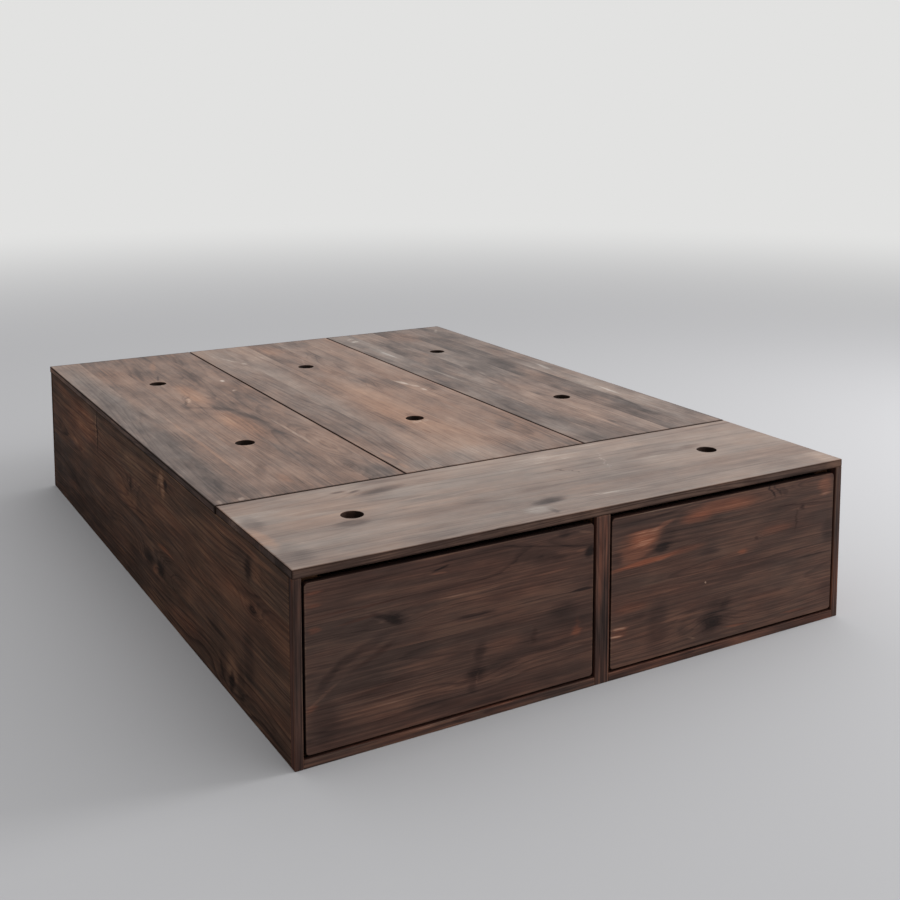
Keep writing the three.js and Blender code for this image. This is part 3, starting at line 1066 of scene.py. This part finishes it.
RIGHT_LID_MARKS = [
    mark(400, 215, 340, 110, 2, 20),
    mark(680, 330, 120, 50, 3, 15),
    mark(930, 225, 210, 110, -6, -12, 8),
    mark(1000, 120, 120, 22, -7, -5, 20),
    mark(420, 395, 62, 5, 20, -10, 3),
    mark(795, 404, 48, 7, 26, -10, 5),
    mark(860, 76, 130, 5, 18, -10, -3),
    mark(1215, 61, 68, 5, 18, -10, -2),
    mark(800, 184, 22, 6, 15, 0, 10),
    mark(925, 181, 18, 5, 11, 0, 10),
    mark(180, 332, 56, 16, -14, 0, -6),
    mark(310, 358, 115, 6, -14, 0, 8),
    mark(210, 384, 50, 6, 12, -10),
    mark(1460, 57, 14, 14, 28, -5),
    mark(1505, 58, 10, 12, 20),
    mark(1450, 235, 95, 65, -4, 28),
    mark(1500, 400, 32, 7, 22, 0, 30),
    mark(600, 172, 65, 15, -7, 0, 18),
    mark(30, 50, 45, 45, -10, -5),
    mark(36, 260, 36, 50, -6, -5),
    mark(1300, 60, 100, 18, 5, -10),
]
CROSS_LID_KNOTS = [
    knot(345, 342, 14, 25),
    knot(622, 92, 14, 25),
]
CROSS_LID_MARKS = [
    mark(345, 340, 58, 19, -32, -5, 12),
    mark(262, 374, 18, 7, -30),
    mark(292, 360, 20, 5, -30, 0, 20),
    mark(370, 396, 52, 9, -13),
    mark(622, 93, 42, 17, -34, -5, 8),
    mark(574, 54, 34, 20, 20, -20),
    mark(597, 34, 8, 18, -18, -10),
    mark(770, 266, 18, 3, -18, 0, -50),
    mark(795, 240, 16, 3, -18, 0, -68),
    mark(904, 277, 65, 2.2, 14, 0, 67),
    mark(875, 212, 105, 70, -6, -10),
    mark(1160, 270, 32, 12, -17),
    mark(205, 176, 36, 20, -20),
    mark(28, 270, 22, 42, -18, -10),
    mark(14, 178, 16, 62, 8, 45),
    mark(30, 68, 40, 55, -13, -10),
    mark(400, 160, 145, 22, -10, 5, 5),
    mark(680, 170, 170, 11, -6),
    mark(755, 79, 78, 3, 14, 0, -9),
    mark(812, 66, 75, 3, 14, 0, -6),
    mark(800, 40, 90, 8, -7, 0, -3),
    mark(1340, 200, 85, 160, 5, 10),
    mark(1375, 40, 32, 50, 12, 10),
    mark(200, 265, 150, 85, 2, 20),
    mark(400, 208, 85, 8, 8, 15),
    mark(505, 235, 58, 3, 12, 0, 4),
    mark(1000, 262, 65, 11, -8, 0, 10),
    mark(1190, 112, 95, 12, 6, 12, 3),
    mark(1340, 392, 80, 6, -15),
    mark(1100, 70, 120, 6, -7),
]
FIGURES = {
    "left_side_board": (LEFT_SIDE_KNOTS, LEFT_SIDE_MARKS),
    "center_front_stile": ((), CENTER_STILE_MARKS),
    "left_drawer_front": (LEFT_FRONT_KNOTS, LEFT_FRONT_MARKS),
    "right_drawer_front": (RIGHT_FRONT_KNOTS, RIGHT_FRONT_MARKS),
    "left_lid": (LEFT_LID_KNOTS, LEFT_LID_MARKS),
    "middle_lid": (MIDDLE_LID_KNOTS, MIDDLE_LID_MARKS),
    "right_lid": (RIGHT_LID_KNOTS, RIGHT_LID_MARKS),
    "cross_lid": (CROSS_LID_KNOTS, CROSS_LID_MARKS),
}
TURNED_BOARDS = ("right_side_board", "back_board")


def spots_of(board):
    """A board's knots and marks. A turned board has the left side's, end for end."""
    if board.node not in TURNED_BOARDS:
        return FIGURES.get(board.node, ((), ()))
    long, wide = board.size[board.grain], board.size[board.across]
    return [
        [
            spot._replace(along=long - spot.along, across=wide - spot.across)
            for spot in spots
            if spot.along < long
        ]
        for spots in FIGURES["left_side_board"]
    ]


# Operators, one for each group of like pieces

class BED_OT_case(Operator):
    """Make the outer boards, the front frame and the boards inside the case"""

    bl_idname = "bed.case"
    bl_label = "Case"

    def execute(self, context):
        settings = context.scene.storage_bed
        sizes, colours = settings.sizes, settings.colours
        side = side_look(colours)
        frame_wood = stain_look(
            colours, stripe=1.2, warmth=0.27, blush=1.2, shift=0.0, edges=-0.05, wear=0.22
        )
        # A darker, less red copy of the frame's stain for the left stile: a painted shade
        painted_shade_frame_wood = frame_wood._replace(warmth=0.15, shift=-0.09)
        inner = inner_look(colours)
        for node in ("left_side_board", *TURNED_BOARDS):
            replace_board(node, side, sizes)
        replace_board("left_front_stile", painted_shade_frame_wood, sizes)
        for node in ("center_front_stile", "right_front_stile", "left_bottom_rail", "right_bottom_rail"):
            replace_board(node, frame_wood, sizes)
        case = frame["record"]["behaviour"]["bodies"]["case"]
        for part in frame["record"]["subparts"]:
            node = part["node"]
            if node in case and part["material_slot"] == "inner_wood":
                replace_board(node, inner, sizes, radius=sizes.glued_edge_radius)
        return {"FINISHED"}


def finger_holes(lid):
    """The middles of a lid's finger holes."""
    middles = []
    for opening in frame["record"]["physics"]["openings"]:
        name = opening["name"]
        if name.startswith(lid) and name.endswith("finger_hole"):
            low, high = opening["box_m"]
            middles.append(((low[0] + high[0]) / 2, (low[1] + high[1]) / 2))
    return middles


class BED_OT_lids(Operator):
    """Make the four lids with their finger holes, and the battens under them"""

    bl_idname = "bed.lids"
    bl_label = "Lids"

    def execute(self, context):
        settings = context.scene.storage_bed
        sizes, colours = settings.sizes, settings.colours
        # The shifts paint each lid's share of sheen: the cross lid palest, the right lid darkest
        looks = {
            "cross_lid": deck_look(
                colours,
                grain=0.34, stripe=0.15, mottle=0.5, warmth=0.17, shift=0.13,
                edges=-0.25, end_reach=EDGE_REACH, sheen=0.1, wear=-0.3,
            ),
            "left_lid": deck_look(colours, warmth=0.4, shift=0.04),
            "middle_lid": deck_look(colours, warmth=0.42, shift=0.05),
            "right_lid": deck_look(colours, warmth=0.12, shift=-0.01, mottle=0.9),
        }
        inner = inner_look(colours)
        for lid, look in looks.items():
            mesh = lid_with_holes(Board(lid), finger_holes(lid), sizes)
            replace_board(lid, look, sizes, mesh=mesh)
            for node in frame["record"]["behaviour"]["bodies"][f"{lid}_body"]:
                if node != lid:
                    replace_board(node, inner, sizes)
        return {"FINISHED"}


class BED_OT_drawers(Operator):
    """Make the drawer fronts and the grooved boards of the drawer boxes"""

    bl_idname = "bed.drawers"
    bl_label = "Drawers"

    def execute(self, context):
        settings = context.scene.storage_bed
        sizes, colours = settings.sizes, settings.colours
        look = stain_look(colours, wear=0.3)
        inner = inner_look(colours)
        for drawer in ("left_drawer", "right_drawer"):
            front = f"{drawer}_front"
            mesh = drawer_front(Board(front), sizes)
            replace_board(front, look, sizes, mesh=mesh)
            panel = f"{drawer}_bottom"
            for name in ("inner_front", "left_side", "right_side", "back"):
                node = f"{drawer}_{name}"
                mesh = grooved_board(Board(node), panel, sizes)
                replace_board(node, inner, sizes, mesh=mesh)
            replace_board(panel, inner, sizes, radius=sizes.groove_clearance)
        return {"FINISHED"}


class BED_OT_runners(Operator):
    """Make the telescopic runners of bent zinc-plated sheet steel"""

    bl_idname = "bed.runners"
    bl_label = "Runners"

    def execute(self, context):
        settings = context.scene.storage_bed
        sizes = settings.sizes
        steel = zinc_steel(settings.colours)
        for node in [name for name in frame["nodes"] if "_runner_" in name]:
            mesh = merged_copy(node)
            bevel(mesh, sharp_edges(mesh), sizes.sheet_bend_radius, sizes.edge_segments)
            piece = finish_piece(f"{node}_steel", mesh, node, steel)
            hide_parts(node)
        return {"FINISHED"}


def batten_screws(node):
    """Three screws along a batten's underside, which pull the lid down on it."""
    end_margin = 0.04
    board = Board(node)
    middle = (board.low + board.high) / 2
    places = []
    reach = board.size[board.grain] / 2 - end_margin
    for along in (-reach, 0.0, reach):
        place = middle.copy()
        place[board.grain] += along
        place.z = board.low.z
        places.append((place, (0, 0, -1)))
    return places


def drawer_screws(drawer):
    """Screws through the inner front into the front, and through the sides at the corners."""
    corner_margin = 0.06
    from_top = (0.03, 0.10)
    inner = Board(f"{drawer}_inner_front")
    back = Board(f"{drawer}_back")
    low, high = inner.low, inner.high
    places = []
    for x in (low.x + corner_margin, (low.x + high.x) / 2, high.x - corner_margin):
        for z in (low.z + corner_margin, high.z - corner_margin):
            places.append((Vector((x, high.y, z)), (0, 1, 0)))
    sides = Board(f"{drawer}_left_side").low.x, Board(f"{drawer}_right_side").high.x
    for x, way in zip(sides, ((-1, 0, 0), (1, 0, 0))):
        for end in (inner, back):
            y = (end.low.y + end.high.y) / 2
            places += [(Vector((x, y, end.high.z - down)), way) for down in from_top]
    return places


class BED_OT_fixings(Operator):
    """Make the screws under the lids' battens and in the drawer boxes"""

    bl_idname = "bed.fixings"
    bl_label = "Fixings"

    def execute(self, context):
        settings = context.scene.storage_bed
        steel = screw_steel(settings.colours)
        for body, nodes in frame["record"]["behaviour"]["bodies"].items():
            places = [place for node in nodes if "_batten" in node for place in batten_screws(node)]
            if f"{body}_front" in nodes:
                places += drawer_screws(body)
            if places:
                mesh = bmesh.new()
                for place, way in places:
                    screw_head(mesh, place, way, settings.sizes)
                bmesh.ops.recalc_face_normals(mesh, faces=mesh.faces[:])
                finish_piece(f"{body}_screws", mesh, nodes[0], steel)
        return {"FINISHED"}


# The stage: floor, backdrop, window light and the photograph's camera

WINDOW_SIDE = Vector((0.80, 0.35, 0.48))
LAMP_PLACE = Vector((3.6, -1.4, 2.3))
LAMP_AIM = Vector((0, 0, 0.2))
LAMP_SIDE = 1.6
LAMP_POWER = 90.0
CAMERA_PLACE = Vector((-1.530, -3.060, 1.245))
LEVEL_TILT = 90
CAMERA_TURN = 30.56
CAMERA_DOWN = 6.56
CAMERA_ROLL = 0.09
IMAGE_SIDE_PX = 900
FOCAL_LENGTH_PX = 1255.6
LENS_CENTRE_PX = (475.5, 240.1)


def show(name, data):
    """Puts a mesh, lamp or camera into the scene."""
    holder = bpy.data.objects.new(name, data)
    bpy.context.scene.collection.objects.link(holder)
    return holder


def background_seen(nodes):
    """1 for the rays that show the background: the camera's, and those in gloss or glass."""
    names = ("Is Camera Ray", "Is Glossy Ray", "Is Transmission Ray")
    camera, glossy, through = nodes.outputs(nodes.node("ShaderNodeLightPath"), names)
    return nodes.maths("MAXIMUM", camera, nodes.maths("MAXIMUM", glossy, through)), camera


def make_world(colours):
    """Soft light that is strongest from the window's side, and a pale background."""
    light_from, light_to, least_light, most_light = -0.9, 0.9, 0.32, 1.05
    gloss_from, gloss_to, least_gloss = -0.3, 0.8, 0.08
    world = bpy.data.worlds.new("soft_window_light")
    bpy.context.scene.world = world
    nodes = Finish(world.name, world)
    toward = nodes.vector("DOT_PRODUCT", nodes.coordinates("Generated"), WINDOW_SIDE.normalized(), "Value")
    level = nodes.step(toward, light_from, light_to, least_light, most_light)
    seen, camera = background_seen(nodes)
    shown = camera + (1.0 - camera) * nodes.step(toward, gloss_from, gloss_to, least_gloss, 1.0)
    light, pale = (
        nodes.node("ShaderNodeBackground", None, {"Color": tone, "Strength": strength}, "Background")
        for tone, strength in ((opaque((1, 1, 1)), level), (opaque(colours.backdrop), shown))
    )
    nodes.node("ShaderNodeOutputWorld", None, {"Surface": nodes.mix_shaders(seen, light, pale)})


def make_floor(colours):
    """A pale floor that keeps the bed's shadow and fades into the background far off."""
    floor_radius, floor_segments = 14.0, 96
    fade_from, fade_to = 3.0, 9.0
    unseen_floor, unseen_backdrop = 0.6, 0.3
    mesh = bmesh.new()
    bmesh.ops.create_circle(mesh, cap_ends=True, radius=floor_radius, segments=floor_segments)
    data = bpy.data.meshes.new("floor")
    mesh.to_mesh(data)
    mesh.free()
    floor = show("floor", data)
    nodes = Finish("pale_floor")
    seen, camera = background_seen(nodes)
    face = nodes.mix(seen, opaque(colours.floor, unseen_floor), opaque(colours.floor))
    matt = nodes.node("ShaderNodeBsdfDiffuse", None, {"Color": face}, "BSDF")
    glow = {
        "Color": opaque(colours.backdrop),
        "Strength": camera + (1.0 - camera) * unseen_backdrop,
    }
    pale = nodes.node("ShaderNodeEmission", None, glow, "Emission")
    distance = nodes.vector("LENGTH", nodes.coordinates(), (0, 0, 0), "Value")
    far = nodes.step(distance, fade_from, fade_to) * seen
    nodes.node("ShaderNodeOutputMaterial", None, {"Surface": nodes.mix_shaders(far, matt, pale)})
    data.materials.append(nodes.owner)


def make_lamp():
    lamp = bpy.data.lights.new("window_lamp", "AREA")
    lamp.shape = "SQUARE"
    lamp.size = LAMP_SIDE
    lamp.energy = LAMP_POWER
    holder = show("window_lamp", lamp)
    holder.location = LAMP_PLACE
    holder.rotation_euler = (LAMP_AIM - LAMP_PLACE).to_track_quat("-Z", "Y").to_euler()


def make_camera():
    """The photograph's camera. An unturned camera looks straight down, so it is tilted up."""
    camera = bpy.data.cameras.new("camera")
    camera.lens = camera.sensor_width * FOCAL_LENGTH_PX / IMAGE_SIDE_PX
    camera.shift_x = (IMAGE_SIDE_PX / 2 - LENS_CENTRE_PX[0]) / IMAGE_SIDE_PX
    camera.shift_y = (LENS_CENTRE_PX[1] - IMAGE_SIDE_PX / 2) / IMAGE_SIDE_PX
    holder = show("camera", camera)
    turn = Matrix.Rotation(math.radians(-CAMERA_TURN), 4, "Z")
    tilt = Matrix.Rotation(math.radians(LEVEL_TILT - CAMERA_DOWN), 4, "X")
    roll = Matrix.Rotation(math.radians(CAMERA_ROLL), 4, "Z")
    holder.matrix_world = Matrix.Translation(CAMERA_PLACE) @ turn @ tilt @ roll
    bpy.context.scene.camera = holder


class BED_OT_stage(Operator):
    """Make the pale floor, the soft window light and the camera"""

    bl_idname = "bed.stage"
    bl_label = "Stage"

    def execute(self, context):
        colours = context.scene.storage_bed.colours
        context.scene.view_settings.view_transform = "Standard"
        make_camera()
        make_world(colours)
        make_floor(colours)
        make_lamp()
        return {"FINISHED"}


class BED_PT_storage_bed(Panel):
    """Lists the calls that make the bed's pieces, and its sizes and colours"""

    bl_idname = "BED_PT_storage_bed"
    bl_label = "Storage Bed"
    bl_space_type = "VIEW_3D"
    bl_region_type = "UI"
    bl_category = "Storage Bed"

    def draw(self, context):
        settings = context.scene.storage_bed
        for kind in OPERATORS:
            self.layout.operator(kind.bl_idname)
        for group in (settings.sizes, settings.colours):
            box = self.layout.box()
            for name in group.__annotations__:
                box.prop(group, name)


OPERATORS = (
    BED_OT_stage, BED_OT_case, BED_OT_lids, BED_OT_drawers, BED_OT_runners, BED_OT_fixings
)
CLASSES = (BedSizes, BedColours, BedSettings, *OPERATORS, BED_PT_storage_bed)


def register():
    for kind in CLASSES:
        bpy.utils.register_class(kind)
    bpy.types.Scene.storage_bed = PointerProperty(type=BedSettings)


def unregister():
    del bpy.types.Scene.storage_bed
    for kind in reversed(CLASSES):
        bpy.utils.unregister_class(kind)


def main():
    register()
    bpy.ops.bed.stage()
    bpy.ops.bed.case()
    bpy.ops.bed.lids()
    bpy.ops.bed.drawers()
    bpy.ops.bed.runners()
    bpy.ops.bed.fixings()


if __name__ == "__main__":
    main()
